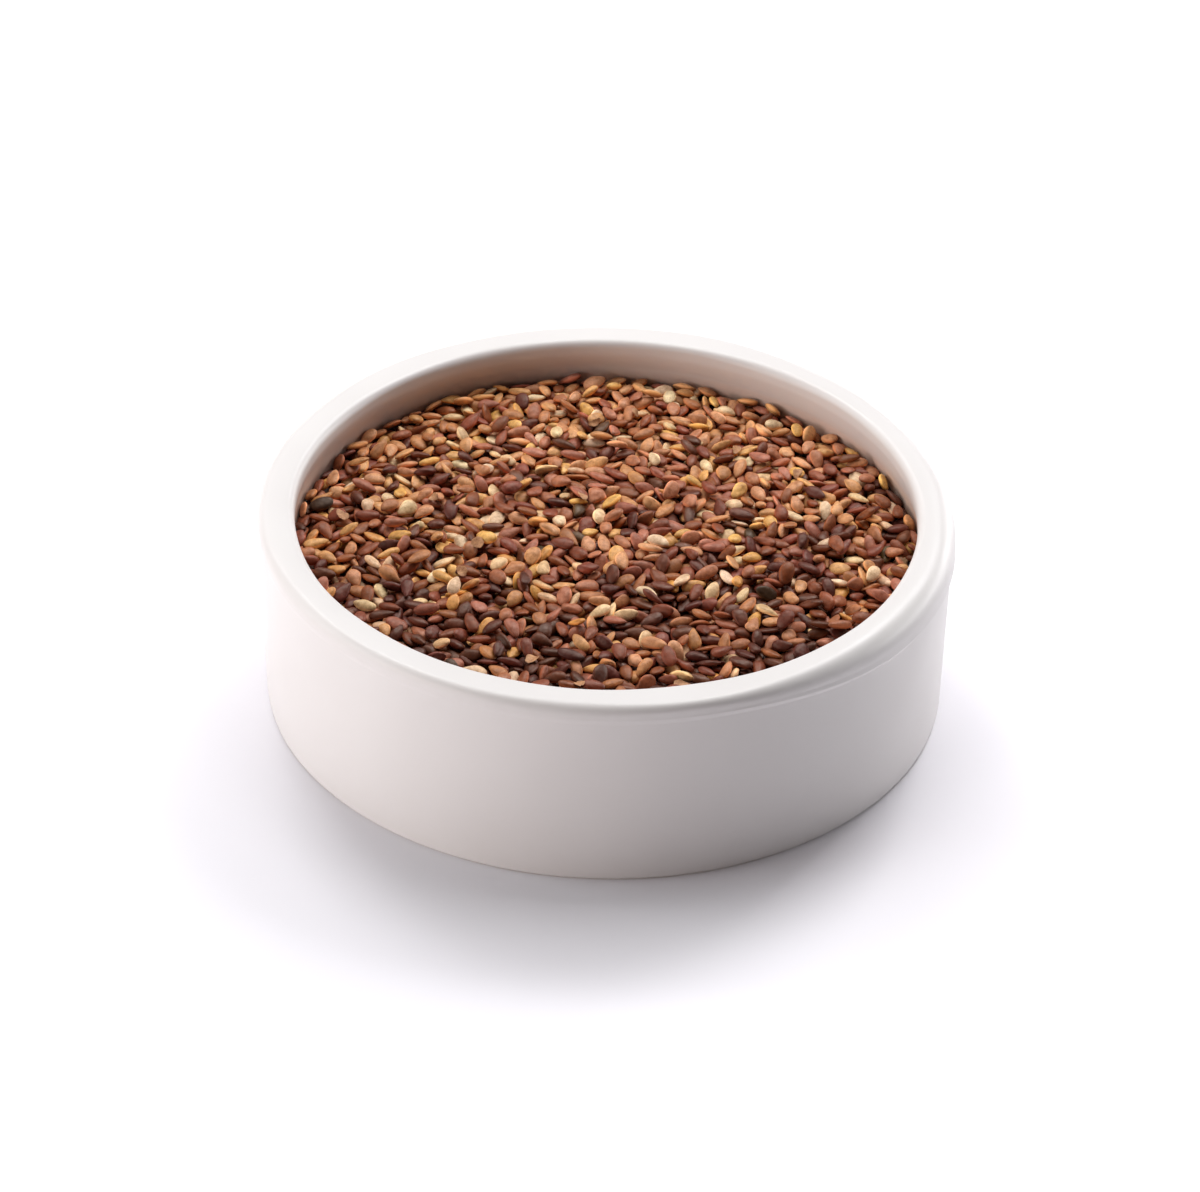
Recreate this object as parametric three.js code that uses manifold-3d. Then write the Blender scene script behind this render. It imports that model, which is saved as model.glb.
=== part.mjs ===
// A small white glazed dish with thick, straight walls, filled with mixed sesame seeds.
// Millimetres, +Z up. The origin is the middle of the underside, on the surface that the dish stands on.
import * as THREE from "three";
import { mergeVertices } from "three/addons/utils/BufferGeometryUtils.js";
import Module from "manifold-3d";

const wasm = await Module();
wasm.setup();

// The dish, a turned shape.
const DISH_DIAMETER = 90; // over the rim band, the widest place
const DISH_HEIGHT = 26.7;
const MOUTH_DIAMETER = 81; // inside the rim band, the narrowest place
const DISH_SEGMENTS = 64; // round the dish
const BAND_HEIGHT = 3.0; // the band round the top, a little thicker than the wall below it
const BAND_STEP_OUT = 0.45; // how far the band stands out from the wall
const BAND_STEP_IN = 0.35; // and how far it overhangs the hollow
const BAND_STEP_HEIGHT = 0.5; // height of the slope between band and wall
const RIM_ROUND_OUT = 1.5; // radius of the rim's outer edge
const RIM_ROUND_IN = 0.9; // radius of the rim's inner edge
const WALL_TAPER = 0.4; // the wall's radius is this much less at the base
const BASE_ROUND = 0.9; // radius of the edge at the base
const FOOT_WIDTH = 8; // of the flat ring that the dish stands on
const FOOT_HEIGHT = 1; // of the shallow hollow inside that ring
const FLOOR_HEIGHT = 5; // of the inside's floor
const FLOOR_ROUND = 4; // radius between the floor and the wall inside
const ARC_DIVISIONS = 2; // a quarter circle is drawn with twice as many lines

// One seed: a flat drop shape.
const SEED_LENGTH = 3.0;
const SEED_WIDTH = 1.9;
const SEED_THICKNESS = 0.95;
const SEED_TAPER = 0.42; // share of the width that is lost from the middle to the tip

// The heap of seeds.
const HEAP_GAP = 0.3; // between the heap and the dish
const HEAP_DROP = 6.0; // from the rim's top down to the seeds at the wall
const HEAP_CROWN = 0.8; // how much higher the heap is in the middle
const HEAP_WAVE = 0.12; // height of its slow unevenness
const HEAP_WAVELENGTH = 46;
const RELIEF_RINGS = 26; // rings of points in its surface, where one point in three is a seed's top
const RELIEF_MARGIN = 0.9; // how far the rings run past the heap's edge, to be trimmed off
const RELIEF_TOP = 0.34; // height of a seed's top over the heap's level, on average
const RELIEF_HOLLOW = -0.42; // and of the hollows between seeds
const RELIEF_SPREAD = 0.36; // how far either may differ from its average, from lowest to highest
const RELIEF_SHIFT = 0.45; // how far a point may move sideways, likewise
const LOOSE_SEEDS = 60; // seeds that lie on top
const LOOSE_RISE = 0.2; // height of their middles over the heap's level
const LOOSE_TILT = 0.5; // radians from the steepest one way to the steepest the other way

const rimRadius = DISH_DIAMETER / 2;
const mouthRadius = MOUTH_DIAMETER / 2;
const wallRadius = rimRadius - BAND_STEP_OUT;
const baseRadius = wallRadius - WALL_TAPER;
const hollowRadius = mouthRadius + BAND_STEP_IN;
const heapRadius = hollowRadius - HEAP_GAP;
const bandBottom = DISH_HEIGHT - BAND_HEIGHT;

const QUARTER = Math.PI / 2;
const GOLDEN_ANGLE = Math.PI * (3 - Math.sqrt(5));

// A stream of numbers from -0.5 to 0.5 that is the same on every run.
function spreadNumbers(seed) {
  const range = 2 ** 32;
  let state = seed;
  return () => {
    state = (state * 1664525 + 1013904223) % range;
    return state / range - 0.5;
  };
}

const spread = spreadNumbers(20);

// Turns a profile of (radius, height) points round the Z axis.
function turned(profile) {
  return new THREE.LatheGeometry(profile.getPoints(ARC_DIVISIONS), DISH_SEGMENTS).rotateX(QUARTER);
}

function solidOf(geometry) {
  geometry.deleteAttribute("normal");
  geometry.deleteAttribute("uv");
  const merged = mergeVertices(geometry);
  return new wasm.Manifold(
    new wasm.Mesh({
      numProp: 3,
      vertProperties: new Float32Array(merged.attributes.position.array),
      triVerts: new Uint32Array(merged.index.array),
    }),
  );
}

function geometryOf(solid) {
  const mesh = solid.getMesh();
  return new THREE.BufferGeometry()
    .setAttribute("position", new THREE.BufferAttribute(mesh.vertProperties, 3))
    .setIndex(new THREE.BufferAttribute(mesh.triVerts, 1));
}

// Outline of the dish, from the middle of the underside, up the outside, over the rim and down inside.
function dishProfile() {
  const footRadius = baseRadius - BASE_ROUND - FOOT_WIDTH;
  const profile = new THREE.Path();
  profile.moveTo(0, FOOT_HEIGHT);
  profile.lineTo(footRadius - FOOT_HEIGHT, FOOT_HEIGHT);
  profile.lineTo(footRadius, 0);
  profile.absarc(baseRadius - BASE_ROUND, BASE_ROUND, BASE_ROUND, -QUARTER, 0);
  profile.lineTo(wallRadius, bandBottom);
  profile.lineTo(rimRadius, bandBottom + BAND_STEP_HEIGHT);
  profile.absarc(rimRadius - RIM_ROUND_OUT, DISH_HEIGHT - RIM_ROUND_OUT, RIM_ROUND_OUT, 0, QUARTER);
  profile.absarc(mouthRadius + RIM_ROUND_IN, DISH_HEIGHT - RIM_ROUND_IN, RIM_ROUND_IN, QUARTER, 2 * QUARTER);
  profile.lineTo(mouthRadius, bandBottom + BAND_STEP_HEIGHT);
  profile.lineTo(hollowRadius, bandBottom);
  profile.absarc(hollowRadius - FLOOR_ROUND, FLOOR_HEIGHT + FLOOR_ROUND, FLOOR_ROUND, 0, -QUARTER, true);
  profile.lineTo(0, FLOOR_HEIGHT);
  return profile;
}

// Outline of the heap below its surface. It follows the inside of the dish at a small distance.
function heapProfile() {
  const bottom = FLOOR_HEIGHT + HEAP_GAP;
  const round = FLOOR_ROUND - HEAP_GAP;
  const profile = new THREE.Path();
  profile.moveTo(0, bottom);
  profile.lineTo(heapRadius - round, bottom);
  profile.absarc(heapRadius - round, bottom + round, round, -QUARTER, 0);
  profile.lineTo(heapRadius, DISH_HEIGHT);
  profile.lineTo(0, DISH_HEIGHT);
  return profile;
}

// Height of the heap's surface without the seeds' own relief.
function heapLevel(x, y) {
  const crown = HEAP_CROWN * (1 - (x * x + y * y) / heapRadius ** 2);
  const turn = (2 * Math.PI) / HEAP_WAVELENGTH;
  const wave = HEAP_WAVE * (Math.sin(turn * (x + 0.6 * y)) + Math.cos(turn * (1.3 * y - 0.5 * x)));
  return DISH_HEIGHT - HEAP_DROP + crown + wave;
}

// Whether point step of a ring is a seed's top. The rings hold a triangular lattice, whose axes are 60
// degrees apart, and every third point along each axis is a top with six hollows round it.
function isSeedTop(ring, step) {
  const axes = [[1, 0], [0, 1], [-1, 1], [-1, 0], [0, -1], [1, -1]];
  if (ring === 0) return true;
  const side = Math.floor(step / ring);
  const along = step % ring;
  const corner = axes[side];
  const run = axes[(side + 2) % 6];
  const column = ring * corner[0] + along * run[0];
  const row = ring * corner[1] + along * run[1];
  return (column - row) % 3 === 0;
}

// Place in the vertex list of point step of a ring. A ring has six more points than the one inside it.
function ringIndex(ring, step) {
  return ring === 0 ? 0 : 1 + 3 * ring * (ring - 1) + (step % (6 * ring));
}

// A thick round slab whose upper side is the heap's surface, with a bump as large as a seed at each top.
function reliefSlab() {
  const ringSpacing = (heapRadius + RELIEF_MARGIN) / RELIEF_RINGS;
  const positions = [];
  const faces = [];
  for (let ring = 0; ring <= RELIEF_RINGS; ring++) {
    for (let step = 0; step < Math.max(6 * ring, 1); step++) {
      const angle = ring === 0 ? 0 : (Math.PI * step) / (3 * ring);
      const x = ring * ringSpacing * Math.cos(angle) + RELIEF_SHIFT * spread();
      const y = ring * ringSpacing * Math.sin(angle) + RELIEF_SHIFT * spread();
      const relief = isSeedTop(ring, step) ? RELIEF_TOP : RELIEF_HOLLOW;
      positions.push(x, y, heapLevel(x, y) + relief + RELIEF_SPREAD * spread());
    }
  }
  for (let ring = 1; ring <= RELIEF_RINGS; ring++) {
    for (let step = 0; step < 6 * ring; step++) {
      const side = Math.floor(step / ring);
      const along = step % ring;
      const inner = side * (ring - 1) + along;
      faces.push(ringIndex(ring, step), ringIndex(ring, step + 1), ringIndex(ring - 1, inner));
      if (along < ring - 1) {
        faces.push(ringIndex(ring - 1, inner), ringIndex(ring, step + 1), ringIndex(ring - 1, inner + 1));
      }
    }
  }
  const edgeCount = 6 * RELIEF_RINGS;
  const edgeStart = ringIndex(RELIEF_RINGS, 0);
  const lowerStart = positions.length / 3;
  const lowerMiddle = lowerStart + edgeCount;
  for (let step = 0; step < edgeCount; step++) {
    const edge = 3 * (edgeStart + step);
    const next = (step + 1) % edgeCount;
    positions.push(positions[edge], positions[edge + 1], 0);
    faces.push(edgeStart + step, lowerStart + step, edgeStart + next);
    faces.push(edgeStart + next, lowerStart + step, lowerStart + next);
    faces.push(lowerStart + step, lowerMiddle, lowerStart + next);
  }
  positions.push(0, 0, 0);
  return new THREE.BufferGeometry()
    .setAttribute("position", new THREE.Float32BufferAttribute(positions, 3))
    .setIndex(faces);
}

// One seed with its tip towards +X: a coarse ball, flattened, with its outline drawn in towards the tip.
function seedGeometry() {
  const sides = 8;
  const geometry = new THREE.SphereGeometry(1, sides, 3).rotateX(QUARTER);
  const widest = Math.sin(Math.PI / 3); // radius of the ball's two rings
  geometry.scale(SEED_LENGTH / 2 / widest, SEED_WIDTH / 2 / widest, SEED_THICKNESS / 2);
  const position = geometry.attributes.position;
  for (let i = 0; i < position.count; i++) {
    const taper = 1 - (SEED_TAPER * (position.getX(i) + SEED_LENGTH / 2)) / SEED_LENGTH;
    position.setY(i, position.getY(i) * taper * (1 + SEED_TAPER / 2));
  }
  return geometry;
}

// The seeds that lie on top, spread evenly over the heap on a sunflower spiral.
function looseSeeds() {
  const reach = heapRadius - SEED_LENGTH / 2 - HEAP_GAP;
  const seeds = [];
  for (let i = 0; i < LOOSE_SEEDS; i++) {
    const radius = reach * Math.sqrt((i + 0.5) / LOOSE_SEEDS);
    const x = radius * Math.cos(i * GOLDEN_ANGLE);
    const y = radius * Math.sin(i * GOLDEN_ANGLE);
    const seed = seedGeometry()
      .rotateX(LOOSE_TILT * spread())
      .rotateY(LOOSE_TILT * spread())
      .rotateZ(2 * Math.PI * spread())
      .translate(x, y, heapLevel(x, y) + LOOSE_RISE);
    seeds.push(solidOf(seed));
  }
  return seeds;
}

function heapGeometry() {
  let heap = solidOf(turned(heapProfile())).intersect(solidOf(reliefSlab()));
  for (const seed of looseSeeds()) heap = heap.add(seed);
  return geometryOf(heap);
}

const glaze = new THREE.MeshStandardMaterial({ color: 0xf1efec, roughness: 0.28, metalness: 0 });
const seedSkin = new THREE.MeshStandardMaterial({ color: 0x915c42, roughness: 0.6, metalness: 0 });

const dish = new THREE.Mesh(turned(dishProfile()), glaze);
dish.name = "dish";

const sesameSeeds = new THREE.Mesh(heapGeometry(), seedSkin);
sesameSeeds.name = "sesame_seeds";

const part = new THREE.Group();
part.add(dish, sesameSeeds);

export default part;
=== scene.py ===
"""A small white glazed dish filled with mixed sesame seeds, on a white table in soft light from behind."""

import math

import bpy
import numpy as np
from mathutils import Matrix, Vector


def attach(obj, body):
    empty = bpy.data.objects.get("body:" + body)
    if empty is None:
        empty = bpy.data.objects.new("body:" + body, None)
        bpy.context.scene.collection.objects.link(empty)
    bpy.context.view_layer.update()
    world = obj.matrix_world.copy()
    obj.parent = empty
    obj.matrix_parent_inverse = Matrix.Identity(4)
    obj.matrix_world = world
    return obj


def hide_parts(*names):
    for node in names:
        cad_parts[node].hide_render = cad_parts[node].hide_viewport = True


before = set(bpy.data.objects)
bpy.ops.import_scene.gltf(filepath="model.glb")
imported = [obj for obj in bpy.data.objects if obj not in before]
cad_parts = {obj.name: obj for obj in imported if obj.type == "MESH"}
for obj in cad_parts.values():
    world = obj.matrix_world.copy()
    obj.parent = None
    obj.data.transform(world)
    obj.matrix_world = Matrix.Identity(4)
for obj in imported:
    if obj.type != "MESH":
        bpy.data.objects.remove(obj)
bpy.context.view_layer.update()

MM = 0.001  # lengths are in millimetres until a mesh, a light or the camera is made

# The dish, as in the CAD model to within 0.2 mm.
DISH_HEIGHT = 26.7
RIM_RADIUS = 45.0
MOUTH_RADIUS = 40.5
BAND_HEIGHT_INSIDE = 3.0
BAND_STEP_INSIDE = 0.35
BAND_STEP_HEIGHT = 0.6
BASE_RADIUS = 44.3
FOOT_RADIUS = 35.25  # of the recess in the underside
FOOT_HEIGHT = 1.0
FLOOR_HEIGHT = 5.0
FLOOR_ROUND = 4.0
BAND_ROUND_INSIDE = 3.0
HOLLOW_RADIUS = MOUTH_RADIUS + BAND_STEP_INSIDE
DISH_TURNS = 320  # points round the dish

# The dish is finished by hand, so the band under its rim is higher and stands out more at the right.
BAND_HEIGHT_LEFT, BAND_HEIGHT_RIGHT = 2.5, 4.9
BAND_STEP_LEFT, BAND_STEP_RIGHT = 0.10, 0.45
RIM_ROUND_LEFT, RIM_ROUND_RIGHT = 1.2, 2.9
RIM_ROUND_INSIDE = 1.1
BAND_HOLLOW_LEFT, BAND_HOLLOW_RIGHT = 0.02, 0.08  # how far the band curves in
MOUTH_CLOSER, MOUTH_CLOSER_RIGHT = 0.25, 0.35  # than in the CAD model

# The heap, as in the CAD model.
HEAP_DROP = 6.0  # from the rim's top down to the seeds at the wall
HEAP_CROWN = 0.8  # how much higher the heap is in the middle
HEAP_WAVE = 0.12
HEAP_WAVELENGTH = 46.0
HEAP_RADIUS = HOLLOW_RADIUS - 0.08  # the seeds nearly touch the wall
CORE_RADIUS = HOLLOW_RADIUS - 0.12
CORE_BOTTOM = FLOOR_HEIGHT + 0.1
CORE_RING_SPACING = 0.4

# One seed.
SEED_SIZE = np.array([2.98, 1.74, 0.94])  # length, width, thickness
SEED_SIZE_SPREAD = np.array([0.09, 0.12, 0.14])  # standard deviation as a share of the size
SEED_ROWS = 11  # faces from the round end to the tip
SEED_COLUMNS = 14  # faces round it
HUSK_SIZE = np.array([1.9, 1.25, 0.45])  # of one husk flake

# How the heap is filled.
MAP_CELL = 0.2
BED_DEPTH = 3.5  # the filling starts this far below the heap's surface
BED_SEEDS = 1500  # the lower seeds, which only shape the core
TOP_SEEDS = 2600  # the upper seeds, which are meshes
LOOSE_SEEDS = 50  # the last of them, which stay where they fall
HUSKS = 12  # pale flakes and broken bits on the top
CELLS_COMPARED = 600  # from which the lowest spots are taken
SPOTS_TRIED = 14
TURNS_TRIED = 3
REACH = 1.9  # of the map's cells round a spot that one seed may cover
SINK = 0.07  # how far a seed settles into its neighbours
SLOPE_FOLLOWED = 0.5  # how much of the ground's slope a seed takes on
LEAN_OUTWARD = 0.16  # how far the seeds lean towards the viewer in front, and away at the back
FLAT_TILT, STEEP_TILT, STEEP_SHARE = 0.33, 0.75, 0.22
SMALL_SIZE, SMALL_SHARE = 0.78, 0.07  # of the seeds that are small or broken
ALONG_WALL = 1.7  # a seed whose middle is this near the wall lies along it
LOOSE_FROM_WALL = 2.2

random = np.random.default_rng(41)
hue_random = np.random.default_rng(7)


# ---------------------------------------------------------------- meshes

def new_piece(name, points, triangles, materials, slots=None):
    """A smooth mesh object from points in millimetres and triangles of point numbers."""
    mesh = bpy.data.meshes.new(name)
    triangles = np.asarray(triangles, np.int32)
    mesh.vertices.add(len(points))
    mesh.vertices.foreach_set("co", (np.asarray(points) * MM).astype(np.float32).ravel())
    mesh.loops.add(triangles.size)
    mesh.loops.foreach_set("vertex_index", triangles.ravel())
    mesh.polygons.add(len(triangles))
    mesh.polygons.foreach_set("loop_start", np.arange(0, triangles.size, 3, dtype=np.int32))
    for material in materials:
        mesh.materials.append(material)
    if slots is not None:
        mesh.polygons.foreach_set("material_index", np.asarray(slots, np.int32))
    mesh.update(calc_edges=True)
    mesh.validate()
    mesh.shade_smooth()
    piece = bpy.data.objects.new(name, mesh)
    bpy.context.collection.objects.link(piece)
    return piece


def add_number(piece, name, values):
    """A number at each point of a piece, for its material to read."""
    attribute = piece.data.attributes.new(name=name, type="FLOAT", domain="POINT")
    attribute.data.foreach_set("value", np.asarray(values, np.float32))


def add_map(piece, places):
    """The piece's own texture map, with a place for each corner of each triangle."""
    layer = piece.data.uv_layers.new(name="OFBake", do_init=False)
    layer.uv.foreach_set("vector", np.asarray(places, np.float32).ravel())


def ring_triangles(rings, columns):
    """Triangles between the rings of a turned shape, whose points are numbered ring by ring."""
    ring, column = np.mgrid[0:rings - 1, 0:columns]
    ring, column = ring.ravel(), column.ravel()
    after = (column + 1) % columns
    a, b = ring * columns + column, ring * columns + after
    c, d = a + columns, b + columns
    return np.concatenate([np.stack([a, b, d], 1), np.stack([a, d, c], 1)])


def turned_triangles(rings, columns):
    """The same, with each end closed by a fan round one more point, numbered after the rings' points."""
    step = np.arange(columns)
    after = (step + 1) % columns
    last = (rings - 1) * columns
    first_end = rings * columns
    first_fan = np.stack([after, step, np.full_like(step, first_end)], 1)
    last_fan = np.stack([last + step, last + after, np.full_like(step, first_end + 1)], 1)
    return np.concatenate([ring_triangles(rings, columns), first_fan, last_fan])


def rounded_outline(corners, arc_steps=8):
    """Points along straight lines whose corners (x, y, radius) are rounded by arcs."""
    points = [np.array(corners[0][:2])]
    for before, corner, after in zip(corners, corners[1:], corners[2:]):
        here, radius = np.array(corner[:2]), corner[2]
        back = np.array(before[:2]) - here
        ahead = np.array(after[:2]) - here
        back, ahead = back / np.linalg.norm(back), ahead / np.linalg.norm(ahead)
        opening = math.acos(np.clip(back @ ahead, -1, 1))
        middle = (back + ahead) / np.linalg.norm(back + ahead)
        centre = here + middle * radius / math.sin(opening / 2)
        start = here + back * radius / math.tan(opening / 2) - centre
        side = np.sign(back[0] * ahead[1] - back[1] * ahead[0])
        for turn in np.linspace(0, side * (opening - math.pi), arc_steps + 1):
            cos, sin = math.cos(turn), math.sin(turn)
            spoke = start[0] * cos - start[1] * sin, start[0] * sin + start[1] * cos
            points.append(centre + np.array(spoke))
    points.append(np.array(corners[-1][:2]))
    return np.array(points)


def smooth_step(value, low, high):
    """0 below low and 1 above high, with a soft change between them."""
    share = np.clip((value - low) / (high - low), 0, 1)
    return share * share * (3 - 2 * share)


# ---------------------------------------------------------------- materials

class Surface:
    """A material and short ways to add nodes to it."""

    def __init__(self, name, roughness, specular=0.5):
        self.material = bpy.data.materials.new(name)
        self.material.use_nodes = True
        self.nodes = self.material.node_tree.nodes
        self.links = self.material.node_tree.links
        self.shader = self.nodes["Principled BSDF"]
        self.shader.inputs["Roughness"].default_value = roughness
        self.shader.inputs["Specular IOR Level"].default_value = specular
        self.place = self.nodes.new("ShaderNodeTexCoord").outputs["Object"]

    def noise(self, size, detail=2.0, roughness=0.5, distortion=0.0):
        """Noise whose spots are about size millimetres across."""
        node = self.nodes.new("ShaderNodeTexNoise")
        node.inputs["Scale"].default_value = 1 / (size * MM)
        node.inputs["Detail"].default_value = detail
        node.inputs["Roughness"].default_value = roughness
        node.inputs["Distortion"].default_value = distortion
        self.links.new(self.place, node.inputs["Vector"])
        return node.outputs["Fac"]

    def number(self, name):
        node = self.nodes.new("ShaderNodeAttribute")
        node.attribute_name = name
        return node.outputs["Fac"]

    def between(self, value, low, high, to_low=0.0, to_high=1.0):
        node = self.nodes.new("ShaderNodeMapRange")
        for name, number in (("From Min", low), ("From Max", high), ("To Min", to_low), ("To Max", to_high)):
            node.inputs[name].default_value = number
        self.links.new(value, node.inputs["Value"])
        return node.outputs["Result"]

    def ramp(self, value, *stops):
        """Colour from a value, with stops of (value, colour)."""
        node = self.nodes.new("ShaderNodeValToRGB")
        elements = node.color_ramp.elements
        while len(elements) < len(stops):
            elements.new(0.5)
        for element, (position, colour) in zip(elements, stops):
            element.position = position
            element.color = (*colour, 1.0)
        self.links.new(value, node.inputs["Fac"])
        return node.outputs["Color"]

    def mix(self, share, first, second, blend="MIX"):
        """Two colours mixed. Each is a socket or a plain colour, and share a socket or a number."""
        node = self.nodes.new("ShaderNodeMix")
        node.data_type = "RGBA"
        node.blend_type = blend
        sockets = [s for s in node.inputs if s.enabled]
        for socket, value in zip(sockets, (share, first, second)):
            if isinstance(value, bpy.types.NodeSocket):
                self.links.new(value, socket)
            else:
                socket.default_value = value if isinstance(value, float) else (*value, 1.0)
        return next(s for s in node.outputs if s.enabled)

    def bump(self, height, depth, strength=1.0):
        """Adds relief of that depth in millimetres to the shader, over any relief it has."""
        node = self.nodes.new("ShaderNodeBump")
        node.inputs["Distance"].default_value = depth * MM
        node.inputs["Strength"].default_value = strength
        self.links.new(height, node.inputs["Height"])
        normal = self.shader.inputs["Normal"]
        if normal.is_linked:
            self.links.new(normal.links[0].from_socket, node.inputs["Normal"])
        self.links.new(node.outputs["Normal"], normal)

    def colour(self, socket):
        self.links.new(socket, self.shader.inputs["Base Color"])

    def roughness(self, socket):
        self.links.new(socket, self.shader.inputs["Roughness"])


def srgb(red, green, blue):
    """A colour in linear light from the usual 0 to 255 numbers."""
    shares = [value / 255 for value in (red, green, blue)]
    return tuple(c / 12.92 if c < 0.0404 else ((c + 0.055) / 1.055) ** 2.4 for c in shares)


def glaze_material():
    surface = Surface("white_glaze", 0.4, specular=0.35)
    cloud = surface.noise(18, detail=1)
    white = surface.ramp(cloud, (0.2, (0.668, 0.638, 0.630)), (0.8, (0.692, 0.664, 0.657)))
    # A brown tint on the inner wall: painted shade and painted light reflected off the seeds.
    bounce_shaded_white = surface.mix(1.0, white, (0.91, 0.69, 0.57), "MULTIPLY")
    surface.colour(surface.mix(surface.number("painted_bounce_shade"), white, bounce_shaded_white))
    surface.roughness(surface.between(surface.noise(7, detail=1), 0.1, 0.9, 0.34, 0.46))
    surface.bump(surface.noise(11, detail=0), 0.10)
    surface.bump(surface.noise(0.9, detail=1), 0.004)
    return surface.material


def bare_clay_material():
    surface = Surface("bare_clay", 0.85, specular=0.25)
    grain = surface.noise(0.35, detail=5, roughness=0.7)
    surface.colour(surface.ramp(grain, (0.35, (0.50, 0.44, 0.37)), (0.65, (0.66, 0.60, 0.52))))
    surface.bump(grain, 0.05)
    return surface.material


PURPLISH, OLIVE = (1.0, 0.90, 1.40), (0.97, 1.10, 0.60)  # how far a seed's hue goes to either side


def seed_material(name, dark, light, speckle):
    """A seed coat. Each seed has its own tone between dark and light and its own hue, under fine speckles."""
    surface = Surface(name, 0.42, specular=0.32)
    surface.shader.inputs["Specular Tint"].default_value = (1.0, 0.80, 0.66, 1.0)
    tone = surface.ramp(surface.number("tone"), (0.0, dark), (1.0, light))
    hue = surface.ramp(surface.number("hue"), (0.0, PURPLISH), (0.5, (1.0, 1.0, 1.0)), (1.0, OLIVE))
    own = surface.mix(0.25 + 0.75 * (1 - light[0]), tone, hue, "MULTIPLY")  # dark coats vary more in hue
    patch = surface.ramp(surface.noise(1.9, detail=1), (0.35, (0.72, 0.67, 0.64)), (0.65, (1.0, 1.0, 1.0)))
    fine = surface.noise(0.6, detail=4, roughness=0.65)
    mottle = surface.ramp(fine, (0.4, (1.0, 1.0, 1.0)), (0.7, (0.64, 0.56, 0.50)))
    shaded = surface.mix(1.0, surface.mix(1.0, own, patch, "MULTIPLY"), mottle, "MULTIPLY")
    dots = surface.between(surface.noise(0.16, detail=2), 0.60, 0.72, 0.0, 0.55)
    spotted = surface.mix(dots, shaded, speckle)
    # Lighter at the thin edge of each seed: painted highlight, the edge lit through and from behind.
    edge = surface.between(surface.number("edge"), 0.3, 1.0, 0.0, 0.8)
    edge_highlighted = surface.mix(edge, spotted, surface.mix(1.0, own, (1.7, 1.55, 1.4), "MULTIPLY"))
    tip = surface.between(surface.number("along"), 0.75, 1.0, 0.0, 0.5)
    surface.colour(surface.mix(tip, edge_highlighted, speckle))
    surface.roughness(surface.between(surface.noise(0.5, detail=3), 0.3, 0.7, 0.35, 0.5))
    surface.bump(surface.noise(0.9, detail=1), 0.10)
    surface.bump(surface.noise(0.22, detail=3, roughness=0.6), 0.035)
    return surface.material


def painted_shade_core_material():
    """The seeds deeper in the heap, of which little more than shade is seen between the upper ones. Their
    browns are darker than the seeds above, as painted shade in the gaps between them.
    """
    surface = Surface("deep_seeds", 0.7, specular=0.3)
    # Painted shade: these browns are darker than the seeds' own coats.
    shaded_browns = (0.3, srgb(30, 12, 6)), (0.5, srgb(60, 29, 17)), (0.7, srgb(98, 54, 32))
    surface.colour(surface.ramp(surface.noise(1.6, detail=1), *shaded_browns))
    surface.bump(surface.noise(0.3, detail=3), 0.03)
    return surface.material


def husk_material():
    surface = Surface("husk", 0.6, specular=0.3)
    fibre = surface.noise(0.5, detail=4, roughness=0.7)
    surface.colour(surface.ramp(fibre, (0.3, srgb(142, 90, 58)), (0.7, srgb(206, 156, 112))))
    surface.bump(fibre, 0.04)
    return surface.material


def table_material():
    surface = Surface("white_table", 0.6, specular=0.2)
    cloud = surface.noise(60, detail=2)
    surface.colour(surface.ramp(cloud, (0.3, (0.91, 0.89, 0.94)), (0.7, (0.92, 0.90, 0.95))))
    return surface.material


# ---------------------------------------------------------------- the dish

def dish_corners(turn):
    """Corners (radius, height, round) of the dish's outline at one place round it: from the middle of the
    underside, up the outside, over the rim and down to the middle of the floor."""
    right = math.cos(turn)
    far_right, fairly_right = smooth_step(right, 0.3, 1), smooth_step(right, 0.1, 0.7)
    height = BAND_HEIGHT_LEFT + (BAND_HEIGHT_RIGHT - BAND_HEIGHT_LEFT) * far_right
    shoulder = RIM_ROUND_LEFT + (RIM_ROUND_RIGHT - RIM_ROUND_LEFT) * far_right
    step = BAND_STEP_LEFT + (BAND_STEP_RIGHT - BAND_STEP_LEFT) * fairly_right
    hollow = BAND_HOLLOW_LEFT + (BAND_HOLLOW_RIGHT - BAND_HOLLOW_LEFT) * fairly_right
    mouth = MOUTH_RADIUS - MOUTH_CLOSER - MOUTH_CLOSER_RIGHT * max(right, 0) ** 3
    band, band_inside = DISH_HEIGHT - height, DISH_HEIGHT - BAND_HEIGHT_INSIDE
    wave = 0.10 * math.sin(7 * turn + 1) + 0.08 * math.sin(12 * turn + 2)
    return [
        (0, FOOT_HEIGHT, 0),
        (FOOT_RADIUS - FOOT_HEIGHT, FOOT_HEIGHT, 0.4),
        (FOOT_RADIUS, 0, 0.3),
        (BASE_RADIUS, 0, 0.45),
        (RIM_RADIUS - step, band - 0.1, 0.5),
        (RIM_RADIUS, band + BAND_STEP_HEIGHT, 0.35),
        (RIM_RADIUS - hollow, DISH_HEIGHT - shoulder - 0.4, 1.0),
        (RIM_RADIUS, DISH_HEIGHT, shoulder + wave),
        (mouth, DISH_HEIGHT, RIM_ROUND_INSIDE + wave),
        (mouth, band_inside + 0.9, BAND_ROUND_INSIDE),
        (HOLLOW_RADIUS, band_inside - 1.1 - 1.2 * max(right, 0), BAND_ROUND_INSIDE),
        (HOLLOW_RADIUS, FLOOR_HEIGHT, FLOOR_ROUND),
        (0, FLOOR_HEIGHT, 0),
    ]


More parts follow.
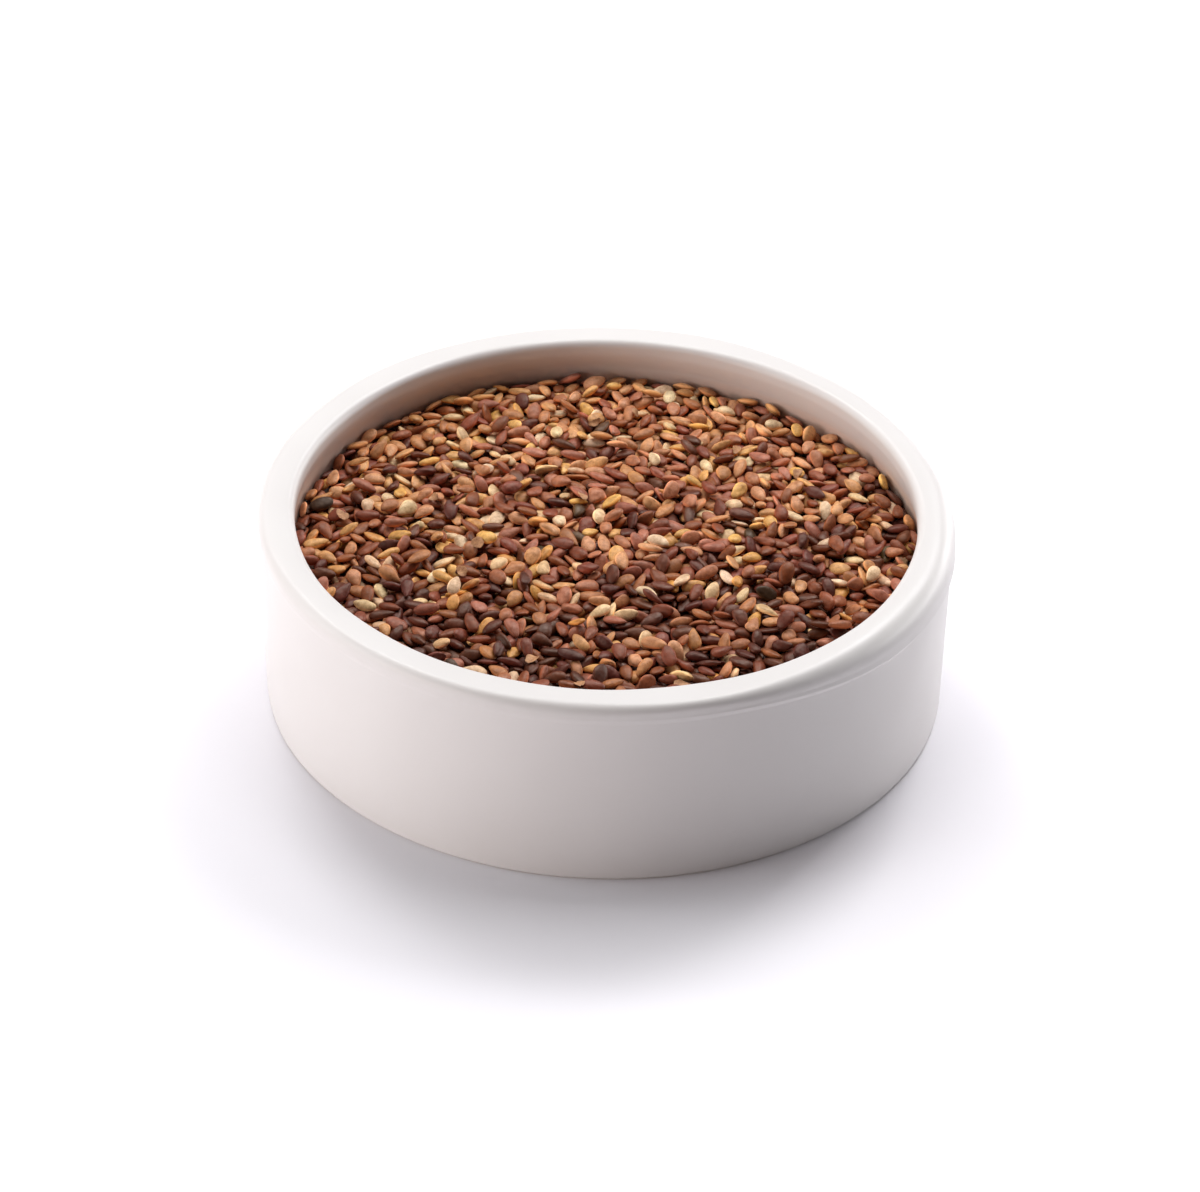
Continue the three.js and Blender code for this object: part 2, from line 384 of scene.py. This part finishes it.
def dish_outlines(turns, longest=1.6):
    """The dish's outline at each place round it, with points added where its steps are long."""
    outlines = np.array([rounded_outline(dish_corners(turn)) for turn in turns])
    lengths = np.linalg.norm(np.diff(outlines[0], axis=0), axis=1)
    parts = np.ceil(lengths / longest).astype(int)
    parts[[0, -1]] = 1
    places = np.concatenate([i + np.arange(part) / part for i, part in enumerate(parts)] + [[len(parts)]])
    before = np.minimum(places.astype(int), len(parts) - 1)
    share = (places - before)[:, None]
    return outlines[:, before] * (1 - share) + outlines[:, before + 1] * share


def uneven(points):
    """Moves the dish's points a little, as a dish finished by hand is never quite round or level."""
    x, y, z = points.T
    angle = np.arctan2(y, x)
    high = z / DISH_HEIGHT
    swell = 0.025 * np.sin(2 * angle + 0.7) + 0.02 * np.sin(3 * angle + 2.1) + 0.012 * np.sin(5 * angle + 4.0)
    ripple = 0.012 * np.sin(9 * angle + 0.5 * z) + 0.010 * np.sin(14 * angle + 1.3 - 0.35 * z)
    share = np.clip(np.hypot(x, y) / RIM_RADIUS, 0, 1) ** 4
    grown = 1 + share * (swell * (0.4 + 0.6 * high) + ripple - 0.06) / RIM_RADIUS
    level = share * high ** 6 * (0.02 * np.sin(2 * angle + 1.0) + 0.02 * np.sin(3 * angle + 0.4) - 0.04)
    return np.stack([x * grown, y * grown, z + level], 1)


def painted_seed_bounce_shade(points):
    """How much painted shade and painted light reflected off the seeds the glaze carries, as a brown tint: on
    the inner wall just above the seeds, and higher up at the left.
    """
    inside = (np.hypot(points[:, 0], points[:, 1]) < MOUTH_RADIUS + 0.8) & (points[:, 2] > FLOOR_HEIGHT / 2)
    left = np.clip(0.5 - 0.5 * points[:, 0] / MOUTH_RADIUS, 0.2, 1)
    depth = DISH_HEIGHT - points[:, 2]
    near_seeds = smooth_step(depth, HEAP_DROP - 2.2, HEAP_DROP - 0.2)
    return inside * np.maximum(left * smooth_step(depth, 0.8, 5.5), near_seeds)


def make_dish():
    turn = np.arange(DISH_TURNS) * 2 * math.pi / DISH_TURNS
    radius, height = dish_outlines(turn)[:, 1:-1].transpose(2, 1, 0)
    points = np.stack([radius * np.cos(turn), radius * np.sin(turn), height], -1).reshape(-1, 3)
    points = np.concatenate([points, [[0, 0, FOOT_HEIGHT], [0, 0, FLOOR_HEIGHT]]])
    triangles = turned_triangles(len(radius), DISH_TURNS)
    middles = points[triangles].mean(1)
    bare = (middles[:, 2] < 0.12) & (np.hypot(middles[:, 0], middles[:, 1]) > FOOT_RADIUS - 0.3)
    materials = [glaze_material(), bare_clay_material()]
    piece = new_piece("glazed_dish", uneven(points), triangles, materials, bare)
    # The brown tint on the inner wall is painted shade and painted light reflected off the seeds.
    add_number(piece, "painted_bounce_shade", painted_seed_bounce_shade(points))
    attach(piece, "root")
    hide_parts("dish")


# ---------------------------------------------------------------- filling the heap

def heap_level(x, y):
    """Height of the heap's surface, without the seeds' own relief."""
    crown = HEAP_CROWN * (1 - (x * x + y * y) / HEAP_RADIUS ** 2)
    turn = 2 * math.pi / HEAP_WAVELENGTH
    wave = HEAP_WAVE * (np.sin(turn * (x + 0.6 * y)) + np.cos(turn * (1.3 * y - 0.5 * x)))
    return DISH_HEIGHT - HEAP_DROP + crown + wave


class HeapMap:
    """The heap's height on a square grid of cells, as it is filled seed by seed."""

    def __init__(self):
        self.count = 2 * math.ceil((HEAP_RADIUS + 3) / MAP_CELL) + 1
        self.start = -MAP_CELL * (self.count // 2)
        axis = self.start + MAP_CELL * np.arange(self.count)
        x, y = np.meshgrid(axis, axis, indexing="ij")
        self.level = heap_level(x, y)
        from_wall = HEAP_RADIUS - np.hypot(x, y)
        self.height = self.level - BED_DEPTH * (0.35 + 0.65 * smooth_step(from_wall, 0, 3))
        reach = math.ceil(REACH / MAP_CELL)
        near = np.arange(-reach, reach + 1)
        self.near_x, self.near_y = (a.ravel() for a in np.meshgrid(near, near, indexing="ij"))
        self.dx, self.dy = self.near_x * MAP_CELL, self.near_y * MAP_CELL
        self.under = self.dx ** 2 + self.dy ** 2 < 1.2 ** 2

    def random_cells(self, count, from_wall=0.8):
        """Random cells at least that far from the wall."""
        radius = (HEAP_RADIUS - from_wall) * np.sqrt(random.random(count))
        angle = 2 * math.pi * random.random(count)
        column = np.round((radius * np.cos(angle) - self.start) / MAP_CELL).astype(int)
        row = np.round((radius * np.sin(angle) - self.start) / MAP_CELL).astype(int)
        return column, row

    def low_cells(self, count):
        """The lowest of some random cells, each told by its own and four nearby heights."""
        column, row = self.random_cells(CELLS_COMPARED)
        below = self.height - self.level
        near = [below[column + a, row + b] for a, b in ((0, 0), (2, 0), (-2, 0), (0, 2), (0, -2))]
        lowest = np.argsort(sum(near))[:count]
        return column[lowest], row[lowest]

    def turned_axes(self, x, y, ground, tilt):
        """Axes of a seed turned at random at each place, leaning with the slope of the ground under it."""
        tries = len(x)
        dx, dy, near = self.dx[self.under], self.dy[self.under], ground[:, self.under]
        slope_x, slope_y = near @ dx / (dx ** 2).sum(), near @ dy / (dy ** 2).sum()
        lean_x = -SLOPE_FOLLOWED * slope_x + tilt * random.normal(size=tries)
        lean_y = -SLOPE_FOLLOWED * slope_y + tilt * random.normal(size=tries) + LEAN_OUTWARD * y / HEAP_RADIUS
        along_wall = np.arctan2(y, x) + math.pi / 2 + 0.3 * random.normal(size=tries)
        by_wall = np.hypot(x, y) > HEAP_RADIUS - ALONG_WALL
        yaw = np.where(by_wall, along_wall, 2 * math.pi * random.random(tries))
        return seed_axes(yaw, lean_x, lean_y)

    def thickness(self, axes, size):
        """Which cells near its middle a seed covers, how far its middle plane lies below its middle there,
        and half its thickness there."""
        shape = np.einsum("kij,j,klj->kil", axes, 1 / (size / 2) ** 2, axes)
        cross = shape[:, 0, 2, None] * self.dx + shape[:, 1, 2, None] * self.dy
        flat = shape[:, 0, 0, None] * self.dx ** 2 + shape[:, 1, 1, None] * self.dy ** 2
        flat += 2 * shape[:, 0, 1, None] * self.dx * self.dy
        up = shape[:, 2, 2, None]
        inside = cross * cross - up * (flat - 1)
        covered = inside > 0
        return covered, cross / up, np.sqrt(np.where(covered, inside, 0)) / up

    def place(self, size, tilt, choose=True):
        """Lays one seed where it comes to lie lowest, and returns its middle and its three axes."""
        cells = self.low_cells(SPOTS_TRIED) if choose else self.random_cells(1, from_wall=LOOSE_FROM_WALL)
        column, row = (np.repeat(numbers, TURNS_TRIED) for numbers in cells)
        near = column[:, None] + self.near_x, row[:, None] + self.near_y
        ground = self.height[near]
        x, y = self.start + MAP_CELL * column, self.start + MAP_CELL * row
        axes = self.turned_axes(x, y, ground, tilt)
        covered, below, half = self.thickness(axes, size)
        lift = np.where(covered, ground + below + half, -np.inf).max(1)
        reach = np.where(covered, np.hypot(x[:, None] + self.dx, y[:, None] + self.dy), 0).max(1)
        best = np.argmin(lift - heap_level(x, y) + np.where(reach > HEAP_RADIUS, 100, 0))
        middle = np.array([x[best], y[best], lift[best] - SINK])
        middle += gap_to_wall(middle, axes[best], size)
        here = covered[best]
        at = near[0][best][here], near[1][best][here]
        self.height[at] = np.maximum(self.height[at], middle[2] + (half - below)[best][here])
        return middle, axes[best]

    def height_at(self, x, y):
        """Heights between the cells' own, which lie at the cells' middles."""
        column, row = (x - self.start) / MAP_CELL, (y - self.start) / MAP_CELL
        i, j = np.floor(column).astype(int), np.floor(row).astype(int)
        u, v = column - i, row - j
        low = self.height[i, j] * (1 - u) + self.height[i + 1, j] * u
        high = self.height[i, j + 1] * (1 - u) + self.height[i + 1, j + 1] * u
        return low * (1 - v) + high * v


def seed_axes(yaw, lean_x, lean_y):
    """For each seed, its long, wide and thin directions, as the columns of a matrix."""
    thin = np.stack([lean_x, lean_y, np.ones_like(lean_x)], 1)
    thin /= np.linalg.norm(thin, axis=1, keepdims=True)
    long = np.stack([np.cos(yaw), np.sin(yaw), np.zeros_like(yaw)], 1)
    long -= (long * thin).sum(1, keepdims=True) * thin
    long /= np.linalg.norm(long, axis=1, keepdims=True)
    return np.stack([long, np.cross(thin, long), thin], 2)


def gap_to_wall(middle, axes, size):
    """The way from a seed near the wall to where it touches the wall. Other seeds stay where they are."""
    outward = np.array([middle[0], middle[1], 0]) / max(math.hypot(middle[0], middle[1]), 1)
    gap = HEAP_RADIUS - middle @ outward - np.linalg.norm(outward @ axes * size / 2)
    return gap * outward if -0.3 < gap < 0.6 else 0


def fill_heap(heap, count, loose=0, size=SEED_SIZE):
    """Lays seeds one after another. The last ones stay where they fall, so some stand out."""
    sizes = size * (1 + SEED_SIZE_SPREAD * random.normal(size=(count, 3)).clip(-2.2, 2.2))
    sizes[random.random(count) < SMALL_SHARE] *= SMALL_SIZE
    tilts = np.where(random.random(count) < STEEP_SHARE, STEEP_TILT, FLAT_TILT)
    laid = [heap.place(sizes[i], tilts[i], choose=i < count - loose) for i in range(count)]
    return sizes, np.array([middle for middle, axes in laid]), np.array([axes for middle, axes in laid])


# ---------------------------------------------------------------- seeds

def seed_map():
    """Place on a unit square of each corner of a seed's triangles: round the seed, then along it."""
    ring, column = np.mgrid[0:SEED_ROWS - 2, 0:SEED_COLUMNS]
    u, v = column.ravel() / SEED_COLUMNS, (ring.ravel() + 1) / SEED_ROWS
    du, dv = 1 / SEED_COLUMNS, 1 / SEED_ROWS
    a, b = np.stack([u, v], 1), np.stack([u + du, v], 1)
    c, d = np.stack([u, v + dv], 1), np.stack([u + du, v + dv], 1)
    sides = np.concatenate([np.stack([a, b, d], 1), np.stack([a, d, c], 1)])
    step = np.arange(SEED_COLUMNS) / SEED_COLUMNS
    low, high = np.full_like(step, dv), np.full_like(step, 1 - dv)
    middle = step + du / 2
    blunt = np.stack(
        [np.stack([step + du, low], 1), np.stack([step, low], 1), np.stack([middle, 0 * step], 1)], 1)
    tip = np.stack(
        [np.stack([step, high], 1), np.stack([step + du, high], 1), np.stack([middle, 0 * step + 1], 1)], 1)
    return np.concatenate([sides, blunt, tip])


def seed_grid():
    """For each point of a seed: its place along it from -1 at the round end to 1 at the tip, the girth
    there, and its place round it."""
    row = np.arange(1, SEED_ROWS) * math.pi / SEED_ROWS
    column = np.arange(SEED_COLUMNS) * 2 * math.pi / SEED_COLUMNS
    along = np.concatenate([np.repeat(-np.cos(row), SEED_COLUMNS), [-1, 1]])
    girth = np.concatenate([np.repeat(np.sin(row), SEED_COLUMNS), [0, 0]])
    return along, girth, np.concatenate([np.tile(column, len(row)), [0, 0]])


SEED_GRID = seed_grid()
SEED_TRIANGLES = turned_triangles(SEED_ROWS - 1, SEED_COLUMNS)


def seed_points(sizes, middles, axes):
    """Points of many seeds: flat drops, each with its own taper, bend and dents."""
    count = len(sizes)
    along, girth, round_ = SEED_GRID
    wide, thin = np.cos(round_), np.sin(round_)

    def each(mean, spread):
        return (mean + spread * random.normal(size=count).clip(-2, 2))[:, None]

    taper = each(0.34, 0.15).clip(0.05, 0.65)
    width = girth * (1 - taper * (along + 1) / 2) * (1 + 0.42 * taper)
    belly = girth * (1 - 0.5 * taper * (along + 1) / 2) * (1 + 0.2 * taper)
    edge = np.sign(thin) * np.abs(thin) ** each(0.85, 0.12)
    phase = 2 * math.pi * random.random((3, count, 1))
    depth = np.where(random.random((count, 1)) < 0.08, 0.09, 0.03)  # a few are shrivelled
    dents = depth * (np.sin(3.1 * along + phase[0]) + np.sin(2 * round_ + 2.3 * along + phase[1])
                     + np.sin(4 * round_ - 3.7 * along + phase[2]))
    x = along + each(0.05, 0.05).clip(0, 0.2) * np.clip(along, 0, 1) ** 4 - 0.02
    y = wide * width * (1 + dents) + each(0, 0.05) * (1 - along ** 2)
    z = edge * belly * (1 + dents) + each(0, 0.10) * (0.5 - along ** 2)
    return placed(np.stack([x, y, z], 2), sizes, middles, axes)


def husk_points(sizes, middles, axes):
    """Points of many husks: thin, cupped flakes with a torn edge."""
    count = len(sizes)
    along, girth, round_ = SEED_GRID
    phase = 2 * math.pi * random.random((4, count, 1))
    place = np.arctan2(girth * np.cos(round_), along)
    torn = 1 + 0.14 * np.sin(2 * place + phase[0]) + 0.10 * np.sin(3 * place + phase[1])
    torn = torn + 0.05 * np.sin(7 * place + phase[2])
    x, y = along * torn, girth * np.cos(round_) * torn
    cup = 0.9 * (y - 0.3) ** 2 + 0.4 * np.sin(2.5 * x + phase[3])
    z = 0.22 * girth * np.sin(round_) + cup - 0.4
    return placed(np.stack([x, y, z], 2), sizes, middles, axes)


def placed(shapes, sizes, middles, axes):
    """Shapes of unit half length, made to size, turned to their axes and moved to their places."""
    return np.einsum("kij,knj->kni", axes, shapes * (sizes / 2)[:, None, :]) + middles[:, None, :]


SEED_KINDS = {  # share, how much commoner towards the back (so that the heap is lighter at the back and darker in front, as painted light), darkest and lightest coat, speckles
    "chestnut": (0.25, -0.5, srgb(124, 60, 38), srgb(166, 96, 66), srgb(78, 36, 24)),
    "russet": (0.225, 0.4, srgb(158, 92, 64), srgb(206, 138, 102), srgb(108, 58, 38)),
    "brown": (0.19, -1.6, srgb(76, 32, 20), srgb(122, 64, 44), srgb(42, 18, 11)),
    "tan": (0.18, 1.1, srgb(194, 126, 80), srgb(238, 180, 128), srgb(134, 78, 44)),
    "golden": (0.07, 0.4, srgb(222, 152, 76), srgb(250, 200, 124), srgb(162, 98, 44)),
    "cream": (0.088, 0.5, srgb(232, 184, 134), srgb(255, 232, 194), srgb(190, 138, 92)),
    "dark": (0.012, -0.6, srgb(46, 28, 20), srgb(120, 90, 52), srgb(30, 20, 14)),
}


def make_scatter(name, points, material):
    """One piece of many seeds or husks, each with its own tone and its own square of the texture map."""
    count, each = points.shape[:2]
    starts = np.arange(count)[:, None, None] * each
    piece = new_piece(name, points.reshape(-1, 3), (SEED_TRIANGLES + starts).reshape(-1, 3), [material])
    along, girth, round_ = SEED_GRID
    # Each seed's tone is lighter towards the back: painted light, the back of the heap lit more than the
    # front.
    back = points[:, :, 1].mean(1) / HEAP_RADIUS
    add_number(piece, "tone", np.repeat(0.2 * (1 + back) + 0.6 * random.random(count), each))
    add_number(piece, "hue", np.repeat(hue_random.random(count), each))
    add_number(piece, "along", np.tile(along, count))
    # The edge number marks the thin rim of each seed, where a highlight is painted.
    add_number(piece, "edge", np.tile(np.abs(np.cos(round_)) ** 6 * girth ** 0.5, count))
    across = math.ceil(math.sqrt(count))
    cell = np.stack([np.arange(count) % across, np.arange(count) // across], 1)[:, None, None, :]
    add_map(piece, (cell + 0.05 + 0.9 * seed_map()) / across)
    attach(piece, "root")
    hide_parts("sesame_seeds")


def make_seeds(sizes, middles, axes):
    """One piece for each kind of seed."""
    points = seed_points(sizes, middles, axes)
    # Kinds are drawn lighter towards the back and darker in front: painted light, the back of the heap lit
    # more than the front.
    share, back = np.array([kind[:2] for kind in SEED_KINDS.values()]).T
    shares = share * np.exp(back * middles[:, 1:2] / HEAP_RADIUS)
    picks = random.random((len(sizes), 1)) * shares.sum(1, keepdims=True)
    kinds = (picks > np.cumsum(shares, 1)).sum(1)
    for number, (name, (_, _, *colours)) in enumerate(SEED_KINDS.items()):
        make_scatter(name + "_seeds", points[kinds == number], seed_material(name + "_seed_coat", *colours))


def core_map(corners, above):
    """Places on a texture map: a large disc for the triangles above, and a small one for the others, which
    draws the wall inwards with its depth, so that it has some width."""
    across = corners[:, :, :2] / CORE_RADIUS
    drawn = across * (0.6 + 0.4 * corners[:, :, 2:] / DISH_HEIGHT)
    is_above = np.arange(len(corners))[:, None, None] < above
    return np.where(is_above, 0.37 + 0.36 * across, 0.87 + 0.12 * drawn)


def make_core(heap):
    """The lower seeds: one closed solid down to the dish's floor, whose top has their shapes in relief."""
    rings = int(CORE_RADIUS / CORE_RING_SPACING)
    spacing = CORE_RADIUS / rings
    ring = np.repeat(np.arange(rings + 1), [1, *(6 * np.arange(1, rings + 1))])
    first = np.where(ring > 0, 1 + 3 * ring * (ring - 1), 0)
    step = np.arange(len(ring)) - first
    angle = np.where(ring > 0, math.pi * step / np.maximum(3 * ring, 1), 0)
    x, y = ring * spacing * np.cos(angle), ring * spacing * np.sin(angle)
    top = np.stack([x, y, heap.height_at(x, y)], 1)
    outer = ring > 0
    side, along = step // np.maximum(ring, 1), step % np.maximum(ring, 1)

    def number(of_ring, of_step):
        place = 1 + 3 * of_ring * (of_ring - 1) + of_step % np.maximum(6 * of_ring, 1)
        return np.where(of_ring > 0, place, 0)

    inner = side * (ring - 1) + along
    wide = np.stack([number(ring, step), number(ring, step + 1), number(ring - 1, inner)], 1)[outer]
    narrow = np.stack(
        [number(ring - 1, inner), number(ring, step + 1), number(ring - 1, inner + 1)], 1)[along < ring - 1]
    count = 6 * rings
    edge = len(top) - count
    corners = [(CORE_RADIUS, DISH_HEIGHT, 0), (CORE_RADIUS, CORE_BOTTOM, FLOOR_ROUND), (0, CORE_BOTTOM, 0)]
    lower = rounded_outline(corners)[1:-1]
    turn = np.arange(count) * 2 * math.pi / count
    below = np.stack(
        [np.outer(lower[:, 0], np.cos(turn)), np.outer(lower[:, 0], np.sin(turn)),
         np.repeat(lower[:, 1:], count, 1)], -1).reshape(-1, 3)
    points = np.concatenate([top, below, [[0, 0, CORE_BOTTOM]]])
    walls = edge + ring_triangles(len(lower) + 1, count)[:, ::-1]
    around = np.arange(count)
    last = len(top) + (len(lower) - 1) * count
    fan = np.stack([np.full(count, len(points) - 1), last + (around + 1) % count, last + around], 1)
    triangles = np.concatenate([wide, narrow, walls, fan])
    piece = new_piece("deep_seeds", points, triangles, [painted_shade_core_material()])
    add_map(piece, core_map(points[triangles], len(wide) + len(narrow)))
    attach(piece, "root")
    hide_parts("sesame_seeds")


def make_heap():
    """Fills the dish: the lower seeds as one core, then the seeds that are seen, then the husks."""
    heap = HeapMap()
    fill_heap(heap, BED_SEEDS)
    make_core(heap)
    make_seeds(*fill_heap(heap, TOP_SEEDS, loose=LOOSE_SEEDS))
    husks = fill_heap(heap, HUSKS, loose=HUSKS, size=HUSK_SIZE)
    make_scatter("husks", husk_points(*husks), husk_material())


# ---------------------------------------------------------------- the studio

def make_table():
    half = 2000.0
    points = np.array([[-half, -half, 0], [half, -half, 0], [half, half, 0], [-half, half, 0]])
    table = new_piece("white_table", points, [[0, 1, 2], [0, 2, 3]], [table_material()])


def make_softbox(name, azimuth, elevation, width, height, distance, strength, tint):
    """A flat light that faces the dish. Azimuth 0 is over the camera and turns towards the right."""
    light = bpy.data.lights.new(name, "AREA")
    light.shape = "RECTANGLE"
    light.size = width * MM
    light.size_y = height * MM
    light.energy = strength
    light.color = tint
    turn, rise = math.radians(azimuth), math.radians(elevation)
    way = Vector((math.sin(turn) * math.cos(rise), -math.cos(turn) * math.cos(rise), math.sin(rise)))
    box = bpy.data.objects.new(name, light)
    box.location = way * distance * MM + Vector((0, 0, DISH_HEIGHT / 2 * MM))
    box.rotation_euler = way.to_track_quat("Z", "Y").to_euler()
    bpy.context.collection.objects.link(box)


SOFTBOXES = {  # azimuth, elevation, width, height, distance, strength and tint
    "above_behind": (180, 68, 400, 400, 600, 2.3, (1, 1, 1)),
    "behind_right": (150, 45, 250, 250, 750, 2.7, (1, 1, 1)),
    "behind_left": (205, 45, 250, 250, 750, 1.5, (1, 1, 1)),
    "side_right": (120, 9, 800, 240, 900, 4.8, (1, 1, 1)),
    "side_left": (270, 22, 600, 600, 900, 3.6, (0.93, 1, 1)),
    "front_left": (300, 9, 800, 240, 900, 4.3, (1, 0.88, 0.83)),
}


def make_studio():
    """The table, the lights, a faint light all round and plain colours."""
    make_table()
    for name, numbers in SOFTBOXES.items():
        make_softbox(name, *numbers)
    world = bpy.data.worlds.new("studio")
    world.use_nodes = True
    world.node_tree.nodes["Background"].inputs["Color"].default_value = (1, 1, 1, 1)
    world.node_tree.nodes["Background"].inputs["Strength"].default_value = 0.03
    bpy.context.scene.world = world
    view = bpy.context.scene.view_settings
    view.view_transform = "Standard"
    view.look = "None"


def make_camera():
    """The photograph's view: a long lens, looking down on the dish."""
    elevation, roll = math.radians(34.41), math.radians(1.40)
    distance = 586.0
    aim_left, aim_below = 0.73, 0.85  # the lens points this far left of and below the dish's middle
    right = Vector((1, 0, 0))
    ahead = Vector((0, math.cos(elevation), -math.sin(elevation)))
    up = right.cross(ahead)
    place = Vector((0, 0, DISH_HEIGHT / 2)) - aim_left * right - aim_below * up - distance * ahead
    rolled_right = math.cos(roll) * right + math.sin(roll) * up
    rolled_up = math.cos(roll) * up - math.sin(roll) * right
    camera = bpy.data.objects.new("camera", bpy.data.cameras.new("camera"))
    camera.data.sensor_width = 36.0
    camera.data.lens = 135.0
    camera.data.clip_start = 0.01
    turn = Matrix((rolled_right, rolled_up, -ahead)).transposed()
    camera.matrix_world = Matrix.Translation(place * MM) @ turn.to_4x4()
    bpy.context.collection.objects.link(camera)
    bpy.context.scene.camera = camera


make_dish()
make_heap()
make_studio()
make_camera()

bpy.context.view_layer.update()
